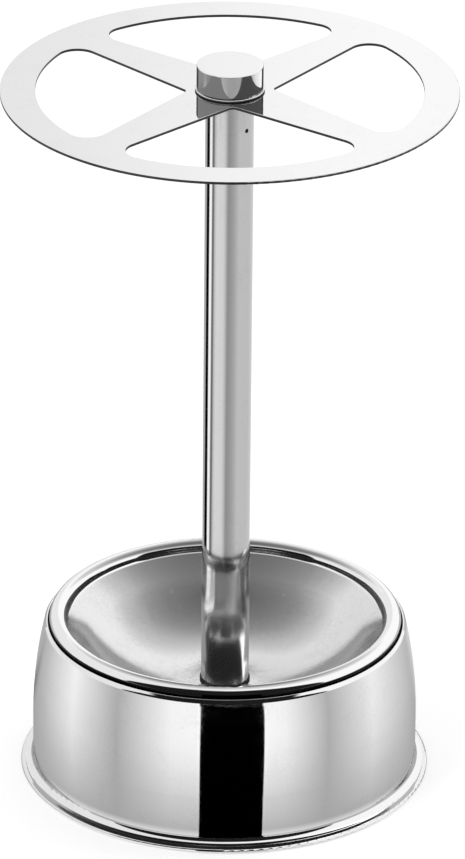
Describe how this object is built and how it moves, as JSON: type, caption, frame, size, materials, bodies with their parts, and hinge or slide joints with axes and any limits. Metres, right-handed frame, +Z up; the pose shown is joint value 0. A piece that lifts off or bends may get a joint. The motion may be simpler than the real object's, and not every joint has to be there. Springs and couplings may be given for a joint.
{
  "type": "umbrella stand",
  "caption": "Round steel umbrella stand: weighted base with a drip bowl, a central column and a flat ring with openings, clamped by a screw-down cap.",
  "frame": {"origin": "on the floor, at the centre of the underside of the round base", "axes": "+Z up along the column, +X to the right and -Y to the front"},
  "size_m": [0.3, 0.3, 0.5091],
  "materials": {
    "polished_steel": "mirror-polished stainless steel",
    "satin_steel": "satin stainless steel tube, brushed around",
    "brushed_steel": "spun stainless steel with a fine turned grain and a polished rim",
    "plated_steel": "zinc-plated steel",
    "black_steel": "blackened steel",
    "slide_nylon": "natural nylon",
    "ballast_iron": "cast iron with black paint",
    "black_rubber": "matt black rubber"
  },
  "bodies": {
    "stand": {"column_tube": "satin_steel", "top_plug": "plated_steel", "grub_screw": "black_steel", "ring_washer": "slide_nylon", "bottom_plug": "plated_steel", "tube_seal": "black_rubber", "drip_bowl": "brushed_steel", "rim_seal": "black_rubber", "base_shell": "polished_steel", "ballast_weight": "ballast_iron", "base_plate": "polished_steel", "plate_screws": "plated_steel", "foot_ring": "black_rubber", "bolt_washer": "plated_steel", "lock_washer": "plated_steel", "column_bolt": "plated_steel"},
    "ring": {"top_ring": "polished_steel"},
    "captive_washer": {"cap_washer": "polished_steel"},
    "cap": {"cap_knob": "polished_steel", "centre_stud": "plated_steel"}
  },
  "joints": [
    {"name": "ring_turn", "type": "hinge", "parent": "stand", "child": "ring", "pos_m": [0, 0, 0.4896], "axis": [0, 0, 1], "continuous": true},
    {"name": "cap_rise", "type": "slide", "parent": "stand", "child": "captive_washer", "axis": [0, 0, 1], "range_m": [0, 0.01125]},
    {"name": "cap_turn", "type": "hinge", "parent": "captive_washer", "child": "cap", "pos_m": [0, 0, 0.4923], "axis": [0, 0, 1], "range_deg": [0, 2700]}
  ],
  "couplings": [
    {"joint": "cap_rise", "follows": "cap_turn", "m_per_rad": 0.00023873}
  ]
}
